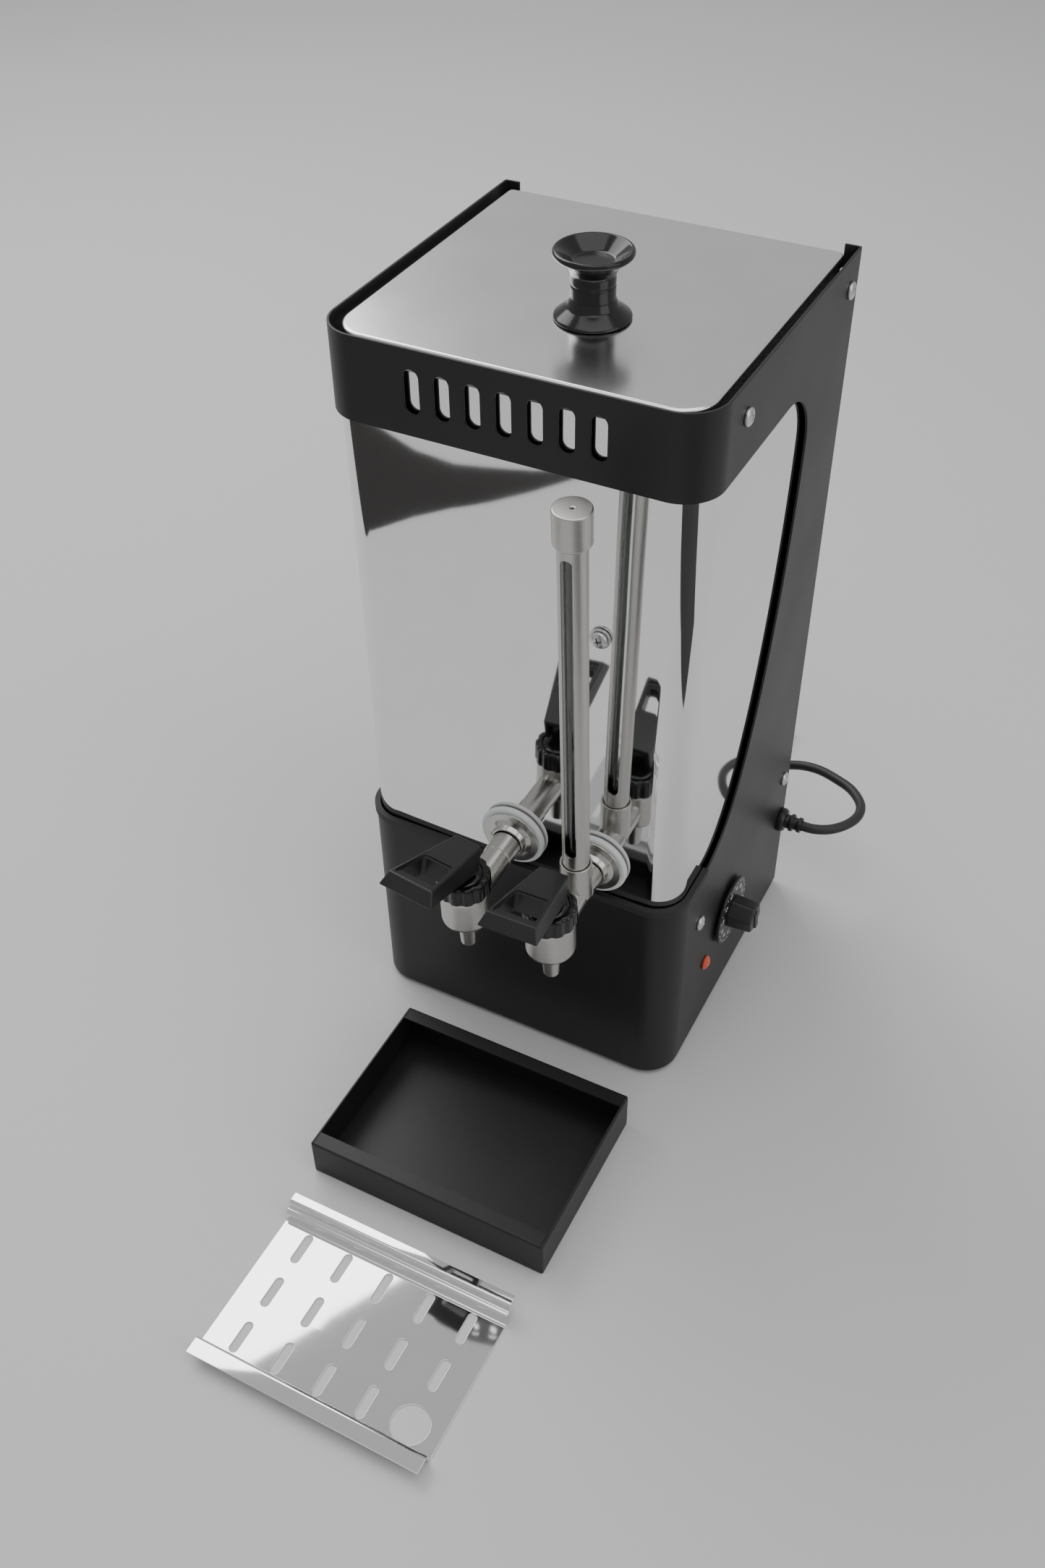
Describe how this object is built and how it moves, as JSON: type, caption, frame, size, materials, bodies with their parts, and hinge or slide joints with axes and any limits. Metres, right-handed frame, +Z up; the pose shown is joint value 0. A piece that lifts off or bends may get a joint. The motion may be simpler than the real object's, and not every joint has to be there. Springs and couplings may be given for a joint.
{
  "type": "countertop water dispenser",
  "caption": "Countertop hot water dispenser: black folded frame round a mirror-polished tank, lever taps, level gauge, knobbed lid, side thermostat dial, loose drip tray and grille.",
  "frame": {"origin": "on the counter, under the middle of the whole arrangement (dispenser, tray and grille) without its free cord", "axes": "+Z up, -Y to the front where the taps, the tray and the grille are, +X to the side with the dial, lamp and cord outlet"},
  "size_m": [0.2785, 0.6947, 0.535],
  "materials": {
    "black_powder_coat": "fine-textured black powder coat",
    "black_gloss_plastic": "glossy black moulded plastic",
    "black_satin_plastic": "satin black moulded plastic",
    "black_rubber": "matte black rubber",
    "polished_stainless": "mirror-polished stainless steel",
    "brushed_stainless": "finely brushed stainless steel",
    "zinc_plated_steel": "bright zinc plate, satin",
    "clear_silicone": "translucent milky silicone",
    "gauge_glass": "clear glass tube",
    "orange_lamp": "orange-red translucent lens",
    "grey_cable": "dark grey cable sheath, satin"
  },
  "bodies": {
    "housing": {"back_panel": "black_powder_coat", "base_plate": "black_powder_coat", "bonnet_left": "black_gloss_plastic", "bonnet_right": "black_gloss_plastic", "collar_left": "black_gloss_plastic", "collar_right": "black_gloss_plastic", "cord_coil": "grey_cable", "cord_lead": "grey_cable", "cord_tail": "grey_cable", "edge_trim": "black_rubber", "flare_left": "polished_stainless", "flare_right": "polished_stainless", "foot_left_front": "black_rubber", "foot_left_rear": "black_rubber", "foot_right_front": "black_rubber", "foot_right_rear": "black_rubber", "frame_wrap": "black_powder_coat", "gauge_cap": "brushed_stainless", "gauge_glass": "gauge_glass", "gauge_guard": "brushed_stainless", "heater_plate": "zinc_plated_steel", "inner_vessel": "brushed_stainless", "lock_nut_left": "zinc_plated_steel", "lock_nut_right": "zinc_plated_steel", "pilot_lamp": "orange_lamp", "pin_left": "zinc_plated_steel", "pin_right": "zinc_plated_steel", "plug": "grey_cable", "screw_left_low_front": "zinc_plated_steel", "screw_left_low_rear": "zinc_plated_steel", "screw_left_top_front": "zinc_plated_steel", "screw_left_top_rear": "zinc_plated_steel", "screw_right_low_front": "zinc_plated_steel", "screw_right_low_rear": "zinc_plated_steel", "screw_right_top_front": "zinc_plated_steel", "screw_right_top_rear": "zinc_plated_steel", "silicone_left": "clear_silicone", "silicone_right": "clear_silicone", "stay_screw": "zinc_plated_steel", "stay_washer": "zinc_plated_steel", "strain_relief": "black_satin_plastic", "tank_jacket": "polished_stainless", "tank_rail_left": "zinc_plated_steel", "tank_rail_right": "zinc_plated_steel", "tank_shelf": "zinc_plated_steel", "thermostat": "zinc_plated_steel", "valve_body_left": "brushed_stainless", "valve_body_right": "brushed_stainless"},
    "lid": {"lid_plate": "polished_stainless", "lid_skirt": "brushed_stainless", "lid_knob": "black_gloss_plastic", "lid_knob_screw": "zinc_plated_steel"},
    "dial": {"dial_disc": "black_gloss_plastic", "dial_knob": "black_satin_plastic"},
    "tap_lever_left": {"lever_left": "black_satin_plastic"},
    "tap_lever_right": {"lever_right": "black_satin_plastic"},
    "valve_stem_left": {"stem_left": "black_rubber"},
    "valve_stem_right": {"stem_right": "black_rubber"},
    "tray": {"drip_tray": "black_powder_coat"},
    "grille": {"drip_grille": "polished_stainless"}
  },
  "joints": [
    {"name": "lid_lift", "type": "slide", "parent": "housing", "child": "lid", "axis": [0, 0, 1], "range_m": [0, 0.12]},
    {"name": "dial_turn", "type": "hinge", "parent": "housing", "child": "dial", "pos_m": [0.10145, 0.14605, 0.078], "axis": [-1, 0, 0], "range_deg": [0, 280]},
    {"name": "lever_left_press", "type": "hinge", "parent": "housing", "child": "tap_lever_left", "pos_m": [-0.01022, -0.02136, 0.22197], "axis": [0.9925, -0.1218, -0.0051], "range_deg": [0, 28], "stiffness_Nm_per_rad": 0.3, "springref_deg": -17.19},
    {"name": "lever_right_press", "type": "hinge", "parent": "housing", "child": "tap_lever_right", "pos_m": [0.04689, -0.02104, 0.22197], "axis": [0.9998, 0.0198, 0.0003], "range_deg": [0, 28], "stiffness_Nm_per_rad": 0.3, "springref_deg": -17.19},
    {"name": "stem_left_rise", "type": "slide", "parent": "housing", "child": "valve_stem_left", "axis": [0, -0.0419, 0.9991], "range_m": [0, 0.004]},
    {"name": "stem_right_rise", "type": "slide", "parent": "housing", "child": "valve_stem_right", "axis": [0.0005, -0.0419, 0.9991], "range_m": [0, 0.004]},
    {"name": "tray_slide", "type": "slide", "parent": "housing", "child": "tray", "axis": [0, 1, 0], "range_m": [0, 0.039]},
    {"name": "grille_lift", "type": "slide", "parent": "housing", "child": "grille", "axis": [0, 0, 1], "range_m": [0, 0.06]}
  ],
  "couplings": [
    {"joint": "stem_left_rise", "follows": "lever_left_press", "m_per_rad": 0.008},
    {"joint": "stem_right_rise", "follows": "lever_right_press", "m_per_rad": 0.008}
  ]
}
